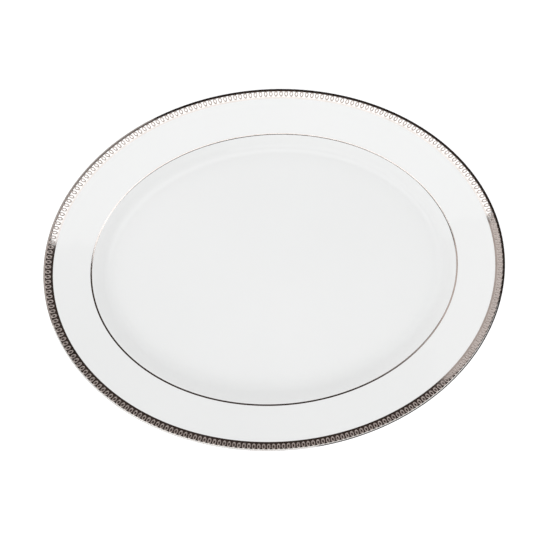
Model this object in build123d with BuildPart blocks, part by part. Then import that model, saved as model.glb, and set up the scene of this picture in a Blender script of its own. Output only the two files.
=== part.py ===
"""Oval china serving platter with a platinum ring-chain border.

The origin is on the table under the platter's centre.  +X runs along the length, +Y along the
width and +Z up.  Sizes are in millimetres.

Every level cut through the platter is an ellipse, so a surface is described by a half profile of
(inset, height) points: inset is the level distance in from the edge of the platter, measured on
the long axis.  Each layer (bisque, glaze, platinum, raised rings) is the same half profile pushed
out by its own thickness, which makes neighbouring layers meet face to face.
"""

import os
from math import atan, atan2, ceil, cos, degrees, radians, sin, tan

from build123d import *

os.makedirs("parts", exist_ok=True)

# Overall size of the glazed platter
LENGTH = 356.0
WIDTH = 280.4
HEIGHT = 28.6
SIDE_INSET_RATIO = 0.96  # the rim is this much narrower at the sides than at the ends

# Rim and lip
LIP_CREST_INSET = 1.55
LIP_LAND = 0.25  # the crest is very nearly level for this far to each side
LIP_LAND_LIFT = 0.04
LIP_THICKNESS = 3.1
RIM_THICKNESS = 4.0  # measured straight down
RIM_RISE = 19.4  # slope of the outer half of the rim, in degrees
RIM_BEND_INSET = 18.0  # the rim bends slightly here, and lies a little flatter towards the well
RIM_BEND_RADIUS = 110.0
SHOULDER = (36.5, 17.05)  # where the rim turns down into the well
SHOULDER_RADIUS = 5.0

# Well
WELL_FOOT_INSET = 47.5  # where the slope of the wall would meet the floor without its cove
FLOOR_HEIGHT = 7.2
COVE_RADIUS = 14.0

# Underside and foot ring
BASE_HEIGHT = 3.0
UNDER_SHOULDER = (36.9, 13.0)
UNDER_WALL_FOOT = (46.2, 4.4)
UNDER_SHOULDER_RADIUS = 9.0
UNDER_WALL_RADIUS = 6.0
FOOT_OUTER_INSET = 49.2
FOOT_WIDTH = 4.6
FOOT_SEAT_DEPTH = 0.6  # how far the foot ring is let into the body
FOOT_EDGE_RADIUS = 1.4
FOOT_BARE_HEIGHT = 1.1  # the glaze is wiped off the foot up to here

# Layers on the bisque
GLAZE = 0.2
PLATINUM = 0.06
RELIEF = 0.3

# Border, counted in from the edge
BAND_INNER_INSET = 5.95  # the ring chain fills the band from the crest of the lip to here
STRIP_INNER_INSET = 7.3
LIP_STRIP_DROP = 2.3  # how far the platinum runs down the outside of the lip
WELL_LINE_INSETS = (35.1, 36.3)

# Raised rings, in one chain of four transfers
RINGS_PER_TRANSFER = 63
RING_LENGTH = 4.2
RING_WIDTH = 2.9
RING_STROKE = 0.8
RING_GAP = 0.01  # a flat ring clears the slightly curved ground by this much
TRANSFERS = ("back_right", "back_left", "front_left", "front_right")

ARC_STEP = 9.0  # an arc in a half profile has a level cut every few degrees
LEVEL = 0.001  # an edge that falls by less than this counts as level
FLARE = 4.0  # how far a cutting form runs past what it cuts

# Half profile of the upper side, from just outside the crest of the lip to the floor of the well
rim_rise = radians(RIM_RISE)
lip_corner = LIP_CREST_INSET * (1 + tan(rim_rise / 2))
rim_bend_height = HEIGHT - (RIM_BEND_INSET - lip_corner) * tan(rim_rise)
wall_slope = atan2(SHOULDER[1] - FLOOR_HEIGHT, WELL_FOOT_INSET - SHOULDER[0])
cove_run = COVE_RADIUS * tan(wall_slope / 2)
with BuildLine() as face_profile:
    FilletPolyline(
        (LIP_CREST_INSET - LIP_LAND, HEIGHT + LIP_LAND_LIFT),
        (lip_corner, HEIGHT),
        (RIM_BEND_INSET, rim_bend_height),
        SHOULDER,
        (WELL_FOOT_INSET, FLOOR_HEIGHT),
        (WELL_FOOT_INSET + cove_run, FLOOR_HEIGHT),
        radius=(LIP_CREST_INSET, RIM_BEND_RADIUS, SHOULDER_RADIUS, 0.999 * COVE_RADIUS),
    )

# Half profile of the underside, from the crest of the lip round the edge to the foot ring
with BuildLine() as under_profile:
    FilletPolyline(
        (LIP_CREST_INSET + LIP_LAND, HEIGHT),
        (0, HEIGHT - LIP_LAND_LIFT),
        (0, HEIGHT - LIP_THICKNESS),
        (RIM_BEND_INSET, rim_bend_height - RIM_THICKNESS),
        UNDER_SHOULDER,
        UNDER_WALL_FOOT,
        (FOOT_OUTER_INSET, BASE_HEIGHT),
        radius=(LIP_CREST_INSET, 1.4, RIM_BEND_RADIUS, UNDER_SHOULDER_RADIUS, UNDER_WALL_RADIUS),
    )


def stretches(profile, lift, outward):
    """Push a profile out from the china by lift, as one list of (inset, height) points per edge.

    A straight edge has two points, and an arc has one every few degrees.  The level edge that
    runs out onto the floor is left out.
    """
    lists = []
    for edge in profile.wires()[0].order_edges():
        steps = 1
        if edge.geom_type == GeomType.CIRCLE:
            steps = max(2, ceil(degrees(edge.length / edge.radius) / ARC_STEP))
        points = []
        for step in range(steps + 1):
            place = edge.position_at(step / steps)
            along = edge.tangent_at(step / steps)
            points.append((place.X - outward * lift * along.Y, place.Y + outward * lift * along.X))
        if points[0][1] - points[-1][1] > LEVEL:
            lists.append(points)
    return lists


def oval(inset):
    """Draw the level outline at an inset from the edge, in the current sketch."""
    Ellipse(LENGTH / 2 - inset, WIDTH / 2 - SIDE_INSET_RATIO * inset)


def oval_form(lists):
    """Loft the level cuts at each list of (inset, height) points, and join the lofts."""
    with BuildPart() as form:
        for points in lists:
            for inset, height in points:
                with BuildSketch(Plane.XY.offset(height)):
                    oval(inset)
            loft(ruled=len(points) == 2)
    return form.part


def cavity(lift):
    """The space above the upper side once it is built up by lift, flared open past the crest."""
    lists = stretches(face_profile, lift, 1)
    top_inset, top_height = lists[0][0]
    flare = [(top_inset - FLARE, top_height + FLARE), (top_inset, top_height)]
    return oval_form([flare] + lists)


def outside(lift):
    """Everything above the underside, once it is built up by lift, up to the crest of the lip."""
    return oval_form(stretches(under_profile, lift, -1))


def crest_block():
    """Everything inside the crest of the lip, from just below it upwards."""
    with BuildPart() as block:
        with BuildSketch(Plane.XY.offset(HEIGHT - LIP_CREST_INSET)):
            oval(LIP_CREST_INSET)
        extrude(amount=2 * FLARE)
    return block.part


def face_layer(low, high, outer_inset, inner_inset=None):
    """The layer of the upper side between two lifts and two insets."""
    with BuildPart() as layer:
        with BuildSketch():
            oval(outer_inset)
            if inner_inset:
                with BuildSketch(mode=Mode.SUBTRACT):
                    oval(inner_inset)
        extrude(amount=HEIGHT + FLARE / 2)
        add(cavity(low), mode=Mode.INTERSECT)
        add(cavity(high), mode=Mode.SUBTRACT)
    return layer.part


def keep(piece, label):
    """Label a finished piece and write it."""
    piece.part.label = label
    export_step(piece.part, f"parts/{label}.step")


# Foot ring: the ground, unglazed ring that the platter stands on, let into the body
with BuildPart() as foot_ring:
    with BuildSketch():
        oval(FOOT_OUTER_INSET)
        with BuildSketch(mode=Mode.SUBTRACT):
            oval(FOOT_OUTER_INSET + FOOT_WIDTH)
    extrude(amount=BASE_HEIGHT + FOOT_SEAT_DEPTH)
    fillet(foot_ring.faces().sort_by(Axis.Z)[0].edges(), radius=FOOT_EDGE_RADIUS)
keep(foot_ring, "foot_ring")

# Bisque body: rim, wall and floor in one thickness of china, with a seat for the foot ring
with BuildPart() as china_body:
    add(outside(-GLAZE))
    add(cavity(-GLAZE), mode=Mode.SUBTRACT)
    add(foot_ring.part, mode=Mode.SUBTRACT)
keep(china_body, "china_body")

# Clear glaze over the upper side
with BuildPart() as glaze_face:
    add(face_layer(-GLAZE, 0, LIP_CREST_INSET))
keep(glaze_face, "glaze_face")

# Clear glaze round the edge, over the underside and part of the way down the foot ring
with BuildPart() as glaze_underside:
    add(outside(0))
    with BuildSketch(Plane.XY.offset(FOOT_BARE_HEIGHT)):
        oval(FOOT_OUTER_INSET - GLAZE)
    extrude(amount=BASE_HEIGHT + GLAZE - FOOT_BARE_HEIGHT)
    add(outside(-GLAZE), mode=Mode.SUBTRACT)
    add(crest_block(), mode=Mode.SUBTRACT)
    with BuildSketch():
        oval(FOOT_OUTER_INSET)
    extrude(amount=BASE_HEIGHT + FOOT_SEAT_DEPTH, mode=Mode.SUBTRACT)
keep(glaze_underside, "glaze_underside")

# Clear glaze inside the foot ring: over the underside of the floor and part of the way down
with BuildPart() as glaze_recess:
    with BuildSketch(Plane.XY.offset(FOOT_BARE_HEIGHT)):
        oval(FOOT_OUTER_INSET + FOOT_WIDTH)
    extrude(amount=BASE_HEIGHT + FOOT_SEAT_DEPTH - FOOT_BARE_HEIGHT)
    add(china_body.part, mode=Mode.SUBTRACT)
    with BuildSketch():
        oval(FOOT_OUTER_INSET + FOOT_WIDTH + GLAZE)
    extrude(amount=BASE_HEIGHT, mode=Mode.SUBTRACT)
keep(glaze_recess, "glaze_recess")

# Platinum strip over the edge, from the crest of the lip down its outside
with BuildPart() as lip_strip:
    add(outside(PLATINUM))
    add(outside(0), mode=Mode.SUBTRACT)
    add(crest_block(), mode=Mode.SUBTRACT)
    split(bisect_by=Plane.XY.offset(HEIGHT - LIP_STRIP_DROP), keep=Keep.TOP)
keep(lip_strip, "lip_strip")

# Platinum on the upper side: the ground of the ring chain, the plain strip inside it, and the
# line round the well
with BuildPart() as band_ground:
    add(face_layer(0, PLATINUM, LIP_CREST_INSET, BAND_INNER_INSET))
keep(band_ground, "band_ground")

with BuildPart() as inner_strip:
    add(face_layer(0, PLATINUM, BAND_INNER_INSET, STRIP_INNER_INSET))
keep(inner_strip, "inner_strip")

with BuildPart() as well_line:
    add(face_layer(0, PLATINUM, *WELL_LINE_INSETS))
keep(well_line, "well_line")

# Raised ring chain: open oval rings, long way across the band, spaced evenly round the edge.
# Each ring lies flat on the slope of the rim.
chain_inset = (LIP_CREST_INSET + BAND_INNER_INSET) / 2
chain_length_radius = LENGTH / 2 - chain_inset
chain_width_radius = WIDTH / 2 - SIDE_INSET_RATIO * chain_inset
chain_height = HEIGHT - (chain_inset - lip_corner) * tan(rim_rise)
with BuildLine() as chain_path:
    EllipticalCenterArc((0, 0), chain_length_radius, chain_width_radius, arc_size=360)
ring_path = chain_path.wires()[0]
ring_count = len(TRANSFERS) * RINGS_PER_TRANSFER


def ring_plane(place):
    """The plane that a ring lies on: x along the border, y up the slope of the rim."""
    centre = ring_path.position_at(place)
    along = ring_path.tangent_at(place)
    out = Vector(along.Y, -along.X, 0)
    inset_run = centre.X / chain_length_radius * out.X
    inset_run += SIDE_INSET_RATIO * centre.Y / chain_width_radius * out.Y
    slope = atan(tan(rim_rise) / inset_run)
    normal = Vector(-sin(slope) * out.X, -sin(slope) * out.Y, cos(slope))
    ground = Vector(centre.X, centre.Y, chain_height) + normal * (PLATINUM + RING_GAP)
    return Plane(origin=ground, x_dir=along, z_dir=normal)


for transfer, name in enumerate(TRANSFERS):
    first = transfer * RINGS_PER_TRANSFER
    planes = [ring_plane((first + ring + 0.5) / ring_count) for ring in range(RINGS_PER_TRANSFER)]
    with BuildPart() as ring_chain:
        with BuildSketch(*planes):
            Ellipse(RING_WIDTH / 2, RING_LENGTH / 2)
            Ellipse(RING_WIDTH / 2 - RING_STROKE, RING_LENGTH / 2 - RING_STROKE, mode=Mode.SUBTRACT)
        extrude(amount=RELIEF)
    keep(ring_chain, f"ring_chain_{name}")
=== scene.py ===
"""Looks of an oval china serving platter with a platinum ring-chain border.

The coats, the foot ring and the raised rings are dense meshes built from the same half profile
as the CAD model, and the china body under them is the CAD mesh itself.  A level cut is an ellipse,
and a point of the profile is (inset from the edge, height).  Profile sizes are in millimetres, and
everything is turned into metres where a vertex is made.
"""

from bisect import bisect_left
from math import atan2, ceil, cos, degrees, hypot, pi, radians, sin, tan

import bpy
from mathutils import Matrix, Vector


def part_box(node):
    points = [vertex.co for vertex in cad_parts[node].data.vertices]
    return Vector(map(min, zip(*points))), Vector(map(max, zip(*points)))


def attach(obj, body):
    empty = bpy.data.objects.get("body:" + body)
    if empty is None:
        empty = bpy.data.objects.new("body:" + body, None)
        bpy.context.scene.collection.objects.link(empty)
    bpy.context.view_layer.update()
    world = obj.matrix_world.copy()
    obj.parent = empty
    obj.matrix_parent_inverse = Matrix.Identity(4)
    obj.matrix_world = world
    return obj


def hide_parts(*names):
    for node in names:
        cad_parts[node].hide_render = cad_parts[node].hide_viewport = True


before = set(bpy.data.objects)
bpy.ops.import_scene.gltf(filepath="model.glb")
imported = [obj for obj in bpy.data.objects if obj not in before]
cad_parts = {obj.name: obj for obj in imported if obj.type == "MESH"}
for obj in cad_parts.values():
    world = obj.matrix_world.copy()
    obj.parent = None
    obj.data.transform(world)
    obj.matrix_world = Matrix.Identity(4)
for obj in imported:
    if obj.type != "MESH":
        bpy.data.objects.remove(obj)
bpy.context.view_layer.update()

MM = 0.001
TINY = 1e-6

# Overall sizes, from the frame
far_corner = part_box("glaze_underside")[1]
HALF_LENGTH = far_corner[0] / MM
HALF_WIDTH = far_corner[1] / MM

# The design of the platter, as in the CAD model, in millimetres
HEIGHT = 28.6
SIDE_INSET_RATIO = 0.96
LIP_CREST_INSET = 1.55
LIP_FACE_RADIUS = 0.97 * LIP_CREST_INSET
LIP_OUTER_RADIUS = 0.99 * LIP_CREST_INSET
LIP_UNDER_RADIUS = 1.4
LIP_THICKNESS = 3.1
RIM_THICKNESS = 4.0
RIM_RISE = radians(19.4)
RIM_BEND_INSET = 18.0
RIM_BEND_RADIUS = 110.0
SHOULDER = (36.5, 17.05)
SHOULDER_RADIUS = 5.0
WELL_FOOT_INSET = 47.5
FLOOR_HEIGHT = 7.2
FLOOR_LEVEL_RUN = 0.4
COVE_RADIUS = 14.0
BASE_HEIGHT = 3.0
UNDER_SHOULDER = (36.9, 13.0)
UNDER_WALL_FOOT = (46.2, 4.4)
UNDER_SHOULDER_RADIUS = 9.0
UNDER_WALL_RADIUS = 6.0
FOOT_OUTER_INSET = 49.2
FOOT_WIDTH = 4.6
FOOT_TOP = 3.6
FOOT_EDGE_RADIUS = 1.4
FOOT_BARE_HEIGHT = 1.1
RECESS_LEVEL_RUN = 4
RECESS_FILLET_RADIUS = 1.2
GLAZE = 0.2
PLATINUM = 0.06
RELIEF = 0.3
BAND_INNER_INSET = 5.95
STRIP_INNER_INSET = 7.3
LIP_STRIP_DROP = 2.3
WELL_LINE_INSETS = (35.1, 36.3)
RING_LENGTH = 4.2
RING_WIDTH = 2.9
RING_STROKE = 0.8
RING_END_FULLNESS = 0.25
RINGS_PER_TRANSFER = 63
TRANSFERS = ("back_right", "back_left", "front_left", "front_right")

# Mesh density
TURNS = 504  # vertices round every level cut
ARC_STEP = 4.0  # degrees between the points of an arc in a profile
LONGEST_STEP = 2.5  # millimetres between the points of a straight stretch
FLOOR_RINGS = 14
CHAIN_SAMPLES = 4096  # steps that measure the way round the ring chain
RING_STEPS = 30  # points round one raised ring
RING_ARCH_STEPS = 6  # points over its rounded back
SHARP_ANGLE = radians(35)


# ---------------------------------------------------------------- profiles


def rounded(corners, radii):
    """A polyline of (inset, height) points with every inner corner rounded to its radius."""
    points = [corners[0]]
    for before, corner, after, radius in zip(corners, corners[1:], corners[2:], radii):
        into = Vector(corner) - Vector(before)
        out = Vector(after) - Vector(corner)
        into.normalize()
        out.normalize()
        turn = into.angle_signed(out)
        reach = radius * tan(abs(turn) / 2)
        start = Vector(corner) - into * reach
        side = Vector((into.y, -into.x)) if turn > 0 else Vector((-into.y, into.x))
        steps = max(2, ceil(degrees(abs(turn)) / ARC_STEP))
        for step in range(steps + 1):
            angle = abs(turn) * step / steps
            place = start + into * radius * sin(angle) + side * radius * (1 - cos(angle))
            points.append((place.x, place.y))
    points.append(corners[-1])
    return points


def subdivided(points, longest):
    """The same polyline with no stretch longer than the given length."""
    fine = [points[0]]
    for (x0, z0), (x1, z1) in zip(points, points[1:]):
        length = hypot(x1 - x0, z1 - z0)
        if length < TINY:
            continue
        parts = max(1, ceil(length / longest))
        for part in range(1, parts + 1):
            share = part / parts
            fine.append((x0 + (x1 - x0) * share, z0 + (z1 - z0) * share))
    return fine


def lifted(points, lift, outward):
    """A polyline pushed out from the china by lift, square to itself at every point."""
    moved = []
    for index, (inset, height) in enumerate(points):
        before = points[max(index - 1, 0)]
        after = points[min(index + 1, len(points) - 1)]
        run, rise = after[0] - before[0], after[1] - before[1]
        length = hypot(run, rise)
        moved.append((inset - outward * lift * rise / length, height + outward * lift * run / length))
    return moved


lip_corner = LIP_CREST_INSET * (1 + tan(RIM_RISE / 2))
rim_bend_height = HEIGHT - (RIM_BEND_INSET - lip_corner) * tan(RIM_RISE)
wall_slope = atan2(SHOULDER[1] - FLOOR_HEIGHT, WELL_FOOT_INSET - SHOULDER[0])
cove_run = COVE_RADIUS * tan(wall_slope / 2)

face_line = rounded(
    [
        (LIP_CREST_INSET, HEIGHT),
        (lip_corner, HEIGHT),
        (RIM_BEND_INSET, rim_bend_height),
        SHOULDER,
        (WELL_FOOT_INSET, FLOOR_HEIGHT),
        (WELL_FOOT_INSET + cove_run + FLOOR_LEVEL_RUN, FLOOR_HEIGHT),
    ],
    (LIP_FACE_RADIUS, RIM_BEND_RADIUS, SHOULDER_RADIUS, COVE_RADIUS),
)
under_line = rounded(
    [
        (LIP_CREST_INSET, HEIGHT),
        (0, HEIGHT),
        (0, HEIGHT - LIP_THICKNESS),
        (RIM_BEND_INSET, rim_bend_height - RIM_THICKNESS),
        UNDER_SHOULDER,
        UNDER_WALL_FOOT,
        (FOOT_OUTER_INSET - GLAZE, BASE_HEIGHT + GLAZE),
    ],
    (
        LIP_OUTER_RADIUS,
        LIP_UNDER_RADIUS,
        RIM_BEND_RADIUS,
        UNDER_SHOULDER_RADIUS,
        UNDER_WALL_RADIUS,
    ),
)
face_line = subdivided(face_line, LONGEST_STEP)
under_line = subdivided(under_line, LONGEST_STEP)


def slope_at(points, inset):
    """(height, run, rise) of the straight piece of a polyline at an inset.  Insets grow along it."""
    index = bisect_left(points, inset, key=lambda point: point[0])
    index = min(max(index, 1), len(points) - 1)
    (x0, z0), (x1, z1) = points[index - 1], points[index]
    run, rise = x1 - x0, z1 - z0
    return z0 + rise * (inset - x0) / run, run, rise


def stretch(points, first, last):
    """The part of a polyline between two insets, cut exactly there."""
    inner = [(x, z) for x, z in points if first + TINY < x < last - TINY]
    return [(first, slope_at(points, first)[0])] + inner + [(last, slope_at(points, last)[0])]


# ---------------------------------------------------------------- meshes


def spot(inset, height, turn, scale=1.0):
    """The vertex at an inset and a height, at a parameter angle round the platter."""
    return (
        (HALF_LENGTH - inset) * scale * cos(turn) * MM,
        (HALF_WIDTH - SIDE_INSET_RATIO * inset) * scale * sin(turn) * MM,
        height * MM,
    )


def new_piece(name, verts, faces, material, slot, *nodes):
    """A finished piece on the one body, standing for its CAD nodes."""
    mesh = bpy.data.meshes.new(name)
    mesh.from_pydata(verts, [], faces)
    mesh.validate()
    mesh.polygons.foreach_set("use_smooth", [True] * len(mesh.polygons))
    mesh.set_sharp_from_angle(angle=SHARP_ANGLE)
    mesh.materials.append(material)
    piece = bpy.data.objects.new(name, mesh)
    bpy.context.scene.collection.objects.link(piece)
    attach(piece, "root")
    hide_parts(*nodes)
    return piece


def hoop_faces(steps, rows):
    """The faces of a closed outline of so many rows that is carried round in so many steps."""
    faces = []
    for step in range(steps):
        here = step * rows
        there = (step + 1) % steps * rows
        for row in range(rows):
            after = (row + 1) % rows
            faces.append((here + row, there + row, there + after, here + after))
    return faces


def oval_tube(outline):
    """Vertices and faces of a closed outline of (inset, height) points carried round the platter."""
    verts = []
    for step in range(TURNS):
        turn = 2 * pi * step / TURNS
        verts.extend(spot(inset, height, turn) for inset, height in outline)
    return verts, hoop_faces(TURNS, len(outline))


def oval_dish(upper, lower):
    """A coat over the whole middle: upper and lower outlines, closed to a pole by scaled rings."""
    verts = []
    faces = []
    rows = []
    for line, inward in ((upper, True), (lower, False)):
        levels = [(inset, height, 1.0) for inset, height in line]
        inset, height = line[-1]
        levels += [(inset, height, 1 - ring / FLOOR_RINGS) for ring in range(1, FLOOR_RINGS + 1)]
        rows.append(levels if inward else levels[::-1])
    starts = []
    for levels in rows:
        for inset, height, scale in levels:
            starts.append(len(verts))
            if scale < TINY:
                verts.append((0.0, 0.0, height * MM))
                continue
            for step in range(TURNS):
                verts.append(spot(inset, height, 2 * pi * step / TURNS, scale))
    starts.append(len(verts))
    count = len(starts) - 1
    for row in range(count):
        after = (row + 1) % count
        width = starts[row + 1] - starts[row]
        after_width = starts[after + 1] - starts[after]
        if width == 1 and after_width == 1:
            continue
        for step in range(TURNS):
            nxt = (step + 1) % TURNS
            here = (starts[row] + step, starts[row] + nxt)
            there = (starts[after] + step, starts[after] + nxt)
            if width == 1:
                faces.append((starts[row], there[1], there[0]))
            elif after_width == 1:
                faces.append((here[0], here[1], starts[after]))
            else:
                faces.append((here[0], here[1], there[1], there[0]))
    return verts, faces


def coat(name, line, outward, low, high, material, slot, *nodes):
    """A thin layer along a profile line, between two lifts."""
    outline = lifted(line, high, outward) + lifted(line, low, outward)[::-1]
    return new_piece(name, *oval_tube(outline[::-outward]), material, slot, *nodes)


# ---------------------------------------------------------------- materials


NOISE_LOW = 0.3
NOISE_HIGH = 0.7


class Nodes:
    """A small helper for building one procedural material."""

    def __init__(self, name):
        self.material = bpy.data.materials.new(name)
        self.material.use_nodes = True
        self.tree = self.material.node_tree
        self.shader = self.tree.nodes["Principled BSDF"]
        coordinates = self.tree.nodes.new("ShaderNodeTexCoord")
        self.place = coordinates.outputs["Object"]

    def noise(self, scale, detail=2.0, roughness=0.5):
        """Noise over the object's own metres; scale is in cells per metre."""
        noise = self.tree.nodes.new("ShaderNodeTexNoise")
        noise.inputs["Scale"].default_value = scale
        noise.inputs["Detail"].default_value = detail
        noise.inputs["Roughness"].default_value = roughness
        self.tree.links.new(self.place, noise.inputs["Vector"])
        return noise.outputs["Fac"]

    def ramp(self, value, *stops):
        """A colour ramp over a value; stops are (position, colour)."""
        ramp = self.tree.nodes.new("ShaderNodeValToRGB")
        elements = ramp.color_ramp.elements
        while len(elements) < len(stops):
            elements.new(0.5)
        for element, (position, colour) in zip(elements, stops):
            element.position = position
            element.color = (*colour, 1.0)
        self.tree.links.new(value, ramp.inputs["Fac"])
        return ramp.outputs["Color"]

    def spread(self, value, low, high):
        """A value in the range that noise mostly keeps to, mapped to another range."""
        mapped = self.tree.nodes.new("ShaderNodeMapRange")
        mapped.inputs["From Min"].default_value = NOISE_LOW
        mapped.inputs["From Max"].default_value = NOISE_HIGH
        mapped.inputs["To Min"].default_value = low
        mapped.inputs["To Max"].default_value = high
        self.tree.links.new(value, mapped.inputs["Value"])
        return mapped.outputs["Result"]

    def link(self, value, socket):
        """Feeds one of the shader's sockets."""
        self.tree.links.new(value, self.shader.inputs[socket])

    def bump(self, *layers):
        """Stacked bumps; each layer is (height value, depth in metres, strength)."""
        normal = None
        for value, depth, strength in layers:
            bump = self.tree.nodes.new("ShaderNodeBump")
            bump.inputs["Distance"].default_value = depth
            bump.inputs["Strength"].default_value = strength
            self.tree.links.new(value, bump.inputs["Height"])
            if normal is not None:
                self.tree.links.new(normal, bump.inputs["Normal"])
            normal = bump.outputs["Normal"]
        self.link(normal, "Normal")

    def fixed(self, **values):
        """Sets constant sockets on the shader itself; an underscore stands for a space."""
        for name, value in values.items():
            self.shader.inputs[name.replace("_", " ")].default_value = value


def glaze_material(name, pale, deep):
    """Clear gloss glaze on white china: almost even, with a faint drift and a soft ripple."""
    nodes = Nodes(name)
    nodes.fixed(IOR=1.5, Specular_IOR_Level=0.22, Coat_Weight=0.12, Coat_Roughness=0.03, Coat_IOR=1.5)
    nodes.link(nodes.ramp(nodes.noise(9, 3), (NOISE_LOW, deep), (NOISE_HIGH, pale)), "Base Color")
    nodes.link(nodes.spread(nodes.noise(60, 4), 0.07, 0.12), "Roughness")
    nodes.bump((nodes.noise(35, 1), 0.00025, 0.10), (nodes.noise(420, 2), 0.00003, 0.06))
    return nodes.material


def platinum_material(name, bright, dull, low, high, metallic=1.0):
    """Fired platinum: a bright film, with brush drift, rubbed haze and fine firing grain."""
    nodes = Nodes(name)
    nodes.fixed(Metallic=metallic)
    nodes.link(nodes.ramp(nodes.noise(140, 5, 0.6), (0.32, dull), (0.62, bright)), "Base Color")
    nodes.link(nodes.spread(nodes.noise(300, 4, 0.6), low, high), "Roughness")
    nodes.bump((nodes.noise(900, 3), 0.00003, 0.06), (nodes.noise(3200, 2), 0.00001, 0.06))
    return nodes.material


def bare_china_material(name, pale, grey, grain):
    """Unglazed china: matte, finely speckled, with a sandy grain."""
    nodes = Nodes(name)
    nodes.link(nodes.ramp(nodes.noise(260, 6, 0.7), (NOISE_LOW, grey), (0.6, pale)), "Base Color")
    nodes.link(nodes.spread(nodes.noise(180, 3), 0.45, 0.65), "Roughness")
    nodes.bump((nodes.noise(grain, 3, 0.7), 0.0001, 0.35))
    return nodes.material


face_glaze = glaze_material("face_glaze", (0.885, 0.89, 0.888), (0.87, 0.876, 0.874))
under_glaze = glaze_material("under_glaze", (0.87, 0.875, 0.868), (0.845, 0.85, 0.842))
platinum = platinum_material("platinum", (0.84, 0.82, 0.80), (0.77, 0.74, 0.71), 0.04, 0.08)
ground_platinum = platinum_material("ground_platinum", (0.92, 0.905, 0.89), (0.87, 0.85, 0.83), 0.05, 0.09)
strip_platinum = platinum_material("strip_platinum", (0.72, 0.68, 0.655), (0.64, 0.60, 0.57), 0.05, 0.09)
ring_platinum = platinum_material("ring_platinum", (0.80, 0.71, 0.67), (0.70, 0.61, 0.565), 0.25, 0.36, 0.76)
line_platinum = platinum_material("line_platinum", (0.86, 0.81, 0.78), (0.77, 0.71, 0.67), 0.10, 0.18)
foot_china = bare_china_material("foot_china", (0.74, 0.72, 0.67), (0.62, 0.60, 0.55), 1400)
body_china = bare_china_material("body_china", (0.82, 0.81, 0.79), (0.77, 0.76, 0.74), 900)


# ---------------------------------------------------------------- china and glaze


def make_glaze_face():
    """The glaze on the upper side, from the crest of the lip over the rim, wall and floor."""
    upper = lifted(face_line, 0, 1)
    lower = lifted(face_line, -GLAZE, 1)
    verts, faces = oval_dish(upper, lower)
    return new_piece("face_glaze_coat", verts, faces, face_glaze, "glaze", "glaze_face")


def make_glaze_underside():
    """The glaze round the edge and over the underside, ending part of the way down the foot."""
    foot_turn = [
        (FOOT_OUTER_INSET - GLAZE, BASE_HEIGHT),
        (FOOT_OUTER_INSET - GLAZE, FOOT_BARE_HEIGHT + GLAZE / 2),
        (FOOT_OUTER_INSET - GLAZE / 2, FOOT_BARE_HEIGHT),
        (FOOT_OUTER_INSET, FOOT_BARE_HEIGHT),
    ]
    inner = lifted(under_line, -GLAZE, -1)
    outline = under_line + foot_turn + [(FOOT_OUTER_INSET, BASE_HEIGHT + GLAZE)] + inner[:-1][::-1]
    verts, faces = oval_tube(outline)
    return new_piece("underside_glaze_coat", verts, faces, under_glaze, "glaze", "glaze_underside")


def make_glaze_recess():
    """The separate pool of glaze inside the foot ring, with a soft fillet against the foot."""
    edge = FOOT_OUTER_INSET + FOOT_WIDTH
    shown = [(edge, FOOT_BARE_HEIGHT), (edge + GLAZE / 2, FOOT_BARE_HEIGHT)]
    level_end = edge + RECESS_LEVEL_RUN
    shown += rounded(
        [
            (edge + GLAZE, FOOT_BARE_HEIGHT + GLAZE / 2),
            (edge + GLAZE, BASE_HEIGHT),
            (level_end, BASE_HEIGHT),
        ],
        (RECESS_FILLET_RADIUS,),
    )
    backed = [(edge, BASE_HEIGHT + GLAZE), (level_end, BASE_HEIGHT + GLAZE)]
    verts, faces = oval_dish(backed, shown)
    return new_piece("recess_glaze_coat", verts, faces, under_glaze, "glaze", "glaze_recess")


def make_foot_ring():
    """The ground foot ring: bare, with eased edges and a flat bearing face."""
    inner = FOOT_OUTER_INSET + FOOT_WIDTH
    outline = rounded(
        [(FOOT_OUTER_INSET, FOOT_TOP), (FOOT_OUTER_INSET, 0), (inner, 0), (inner, FOOT_TOP)],
        (FOOT_EDGE_RADIUS, FOOT_EDGE_RADIUS),
    )
    verts, faces = oval_tube(outline)
    return new_piece("foot_ring_bare", verts, faces, foot_china, "foot", "foot_ring")


make_glaze_face()
make_glaze_underside()
make_glaze_recess()
make_foot_ring()
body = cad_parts["china_body"]
body.data.materials.clear()
body.data.materials.append(body_china)

# ---------------------------------------------------------------- platinum border and well line


def make_lip_strip():
    """The plain strip that rolls over the lip, from its crest part of the way down the outside."""
    line = [(x, z) for x, z in under_line if z > HEIGHT - LIP_STRIP_DROP and x < 2 * LIP_CREST_INSET]
    coat("lip_strip_platinum", line, -1, 0, PLATINUM, platinum, "platinum", "lip_strip")


make_lip_strip()
for piece_name, node, insets, finish in (
    ("band_ground_platinum", "band_ground", (LIP_CREST_INSET, BAND_INNER_INSET), ground_platinum),
    ("inner_strip_platinum", "inner_strip", (BAND_INNER_INSET, STRIP_INNER_INSET), strip_platinum),
    ("well_line_platinum", "well_line", WELL_LINE_INSETS, line_platinum),
):
    coat(piece_name, stretch(face_line, *insets), 1, 0, PLATINUM, finish, "platinum", node)


# ---------------------------------------------------------------- raised rings

chain_inset = (LIP_CREST_INSET + BAND_INNER_INSET) / 2
chain_a = HALF_LENGTH - chain_inset
chain_b = HALF_WIDTH - SIDE_INSET_RATIO * chain_inset


def even_turns(count):
    """Parameter angles that divide the chain's ellipse into equal lengths."""
    lengths = [0.0]
    for sample in range(CHAIN_SAMPLES):
        middle = 2 * pi * (sample + 0.5) / CHAIN_SAMPLES
        lengths.append(lengths[-1] + hypot(chain_a * sin(middle), chain_b * cos(middle)))
    turns = []
    for place in range(count):
        wanted = lengths[-1] * (place + 0.5) / count
        index = bisect_left(lengths, wanted)
        share = (wanted - lengths[index - 1]) / (lengths[index] - lengths[index - 1])
        turns.append(2 * pi * (index - 1 + share) / CHAIN_SAMPLES)
    return turns


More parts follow.
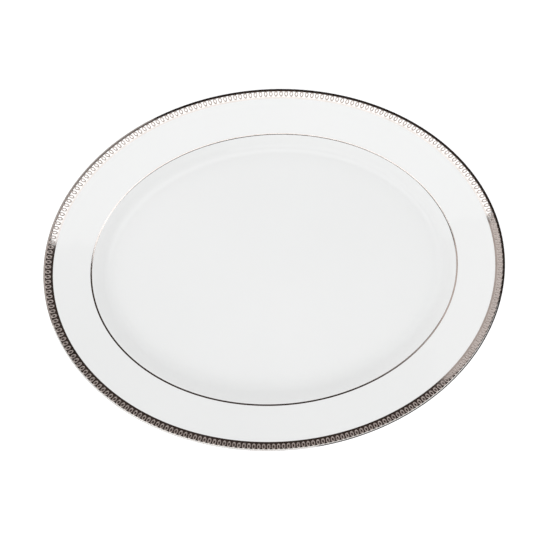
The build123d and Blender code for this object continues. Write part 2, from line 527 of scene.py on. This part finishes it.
def on_face(inset, lift):
    """(inset, height) of a point over the upper side, lifted square to it."""
    height, run, rise = slope_at(face_line, inset)
    length = hypot(run, rise)
    return inset - lift * rise / length, height + lift * run / length


def raised_ring(turn):
    """Vertices and faces of one open oval ring with a rounded back, lying on the rim."""
    speed = hypot(chain_a * sin(turn), chain_b * cos(turn))
    half_width = (RING_WIDTH - RING_STROKE) / 2
    half_length = (RING_LENGTH - RING_STROKE) / 2
    section = []
    for step in range(RING_ARCH_STEPS + 1):
        angle = pi * step / RING_ARCH_STEPS
        section.append((cos(angle) * RING_STROKE / 2, PLATINUM + RELIEF * sin(angle)))
    section.append((-RING_STROKE / 2, PLATINUM / 2))
    section.append((RING_STROKE / 2, PLATINUM / 2))
    verts = []
    for step in range(RING_STEPS):
        angle = 2 * pi * step / RING_STEPS
        out = Vector((cos(angle) / half_width, sin(angle) / half_length)).normalized()
        fuller = 1 + RING_END_FULLNESS * sin(angle) ** 2
        for across, lift in section:
            x = half_width * cos(angle) + out.x * across * fuller
            y = half_length * sin(angle) + out.y * across * fuller
            inset, height = on_face(chain_inset - y, lift)
            verts.append(spot(inset, height, turn + x / speed))
    return verts, hoop_faces(RING_STEPS, len(section))


ring_turns = even_turns(len(TRANSFERS) * RINGS_PER_TRANSFER)
for transfer, side in enumerate(TRANSFERS):
    chain_verts = []
    chain_faces = []
    for turn in ring_turns[transfer * RINGS_PER_TRANSFER:(transfer + 1) * RINGS_PER_TRANSFER]:
        verts, faces = raised_ring(turn)
        offset = len(chain_verts)
        chain_verts.extend(verts)
        chain_faces.extend(tuple(vertex + offset for vertex in face) for face in faces)
    piece_name = f"raised_rings_{side}"
    new_piece(piece_name, chain_verts, chain_faces, ring_platinum, "platinum", f"ring_chain_{side}")


# ---------------------------------------------------------------- floor, light and camera

# Stage sizes and places are in metres
FLOOR_RADIUS = 6.0
FLOOR_GLOW = 0.25
DOME_RADIUS = 5.9
DOME_GLOW = 0.965
PANEL_HEIGHT = 1.4
WARM = (1.0, 0.90, 0.86)
BROWN = (1.0, 0.70, 0.61)


def glowing_material(name, colour, glow):
    """A plain matte finish with an even glow of its own, for the floor and the backdrop."""
    nodes = Nodes(name)
    nodes.fixed(Base_Color=(*colour, 1), Roughness=0.9, Specular_IOR_Level=0.0)
    nodes.fixed(Emission_Color=(1, 1, 1, 1), Emission_Strength=glow)
    return nodes.material


def make_floor():
    """A wide pale light table that the foot ring stands on.  The platinum doesn't mirror it."""
    bpy.ops.mesh.primitive_circle_add(vertices=96, radius=FLOOR_RADIUS, fill_type="NGON", location=(0, 0, 0))
    floor = bpy.context.object
    floor.name = "floor"
    floor.data.materials.append(glowing_material("floor_table", (0.92, 0.92, 0.92), FLOOR_GLOW))
    floor.visible_glossy = False


def make_backdrop():
    """A pale dome all round, which lights the china evenly and isn't mirrored in the platinum."""
    bpy.ops.mesh.primitive_uv_sphere_add(segments=48, ring_count=24, radius=DOME_RADIUS, location=(0, 0, 0))
    dome = bpy.context.object
    dome.name = "backdrop"
    dome.data.materials.append(glowing_material("backdrop_glow", (0.0, 0.0, 0.0), DOME_GLOW))
    dome.visible_glossy = False
    dome.visible_shadow = False


def soft_panel(name, place, target, size, radiance, colour=(1, 1, 1), mirrored=True):
    """A soft rectangular light facing a point: seen only in gloss, or else only lighting the china."""
    light = bpy.data.lights.new(name, "AREA")
    light.shape = "RECTANGLE"
    light.size, light.size_y = size
    light.energy = radiance * pi * size[0] * size[1]
    light.color = colour
    panel = bpy.data.objects.new(name, light)
    aim = Vector(target) - Vector(place)
    panel.location = place
    panel.rotation_euler = aim.to_track_quat("-Z", "Y").to_euler()
    panel.visible_camera = False
    panel.visible_glossy = mirrored
    panel.visible_diffuse = not mirrored
    bpy.context.scene.collection.objects.link(panel)


def overhead_panel(name, x, y, size, radiance, colour=(1, 1, 1)):
    """A mirrored panel high up, facing straight down."""
    soft_panel(name, (x, y, PANEL_HEIGHT), (x, y, 0.0), size, radiance, colour)


make_floor()
make_backdrop()
# White panels high in front and low at the front left, dimmer warm and brown ones elsewhere, and
# nothing straight above.  The fill isn't mirrored and only lights the china.
overhead_panel("high_panel", 0.05, -0.88, (1.9, 0.84), 1.35)
soft_panel("low_panel", (-1.07, -1.59, 0.1), (0.0, 0.0, 0.1), (2.85, 2.6), 1.1)
soft_panel("low_left_panel", (-1.5, 0.55, 0.0), (0.0, 0.0, 0.0), (2.7, 2.0), 0.5, WARM)
overhead_panel("left_panel", -1.19, 0.05, (1.42, 0.96), 0.54, WARM)
overhead_panel("left_back_panel", -0.7, 0.78, (0.45, 0.5), 0.25, WARM)
overhead_panel("back_panel", 0.78, 1.2, (2.5, 2.05), 0.034, BROWN)
overhead_panel("right_panel", 1.2, -0.15, (1.65, 0.6), 0.034, BROWN)
overhead_panel("front_right_panel", 1.0, -1.75, (1.8, 0.7), 0.12, WARM)
soft_panel("fill", (-0.85, -1.55, 0.95), (0.0, 0.0, 0.0), (1.5, 1.2), 0.75, mirrored=False)

world = bpy.data.worlds.new("studio")
world.use_nodes = True
world.node_tree.nodes["Background"].inputs["Color"].default_value = (0.013, 0.010, 0.009, 1)
world.node_tree.nodes["Background"].inputs["Strength"].default_value = 1.0
bpy.context.scene.world = world
bpy.context.scene.view_settings.view_transform = "Standard"

CAMERA_TILT = radians(8.04)  # off straight down
CAMERA_SIDE = radians(64.4)  # the way it leans, round from +X
CAMERA_ROLL = radians(4.36)
CAMERA_DISTANCE = 1.192  # metres from the platter's middle, at the height of its shoulder
FRAME_WIDTH = 36.0  # millimetres, as is the lens
LENS = 100.55
VIEW_SHIFT = (0.0037, -0.0071)
CLIP_START = 0.01


def make_camera():
    """A long lens almost straight above, leaning a little to the back right and rolled a little."""
    axis = Vector((-sin(CAMERA_SIDE), cos(CAMERA_SIDE), 0))
    tilt = Matrix.Rotation(CAMERA_TILT, 3, axis)
    roll = Matrix.Rotation(-CAMERA_ROLL, 3, "Z")
    turned = tilt @ roll
    target = Vector((0, 0, SHOULDER[1] * MM))
    place = target + tilt.col[2] * CAMERA_DISTANCE
    camera = bpy.data.objects.new("camera", bpy.data.cameras.new("camera"))
    camera.matrix_world = Matrix.Translation(place) @ turned.to_4x4()
    camera.data.sensor_width = FRAME_WIDTH
    camera.data.lens = LENS
    camera.data.shift_x, camera.data.shift_y = VIEW_SHIFT
    camera.data.clip_start = CLIP_START
    bpy.context.scene.collection.objects.link(camera)
    bpy.context.scene.camera = camera


make_camera()
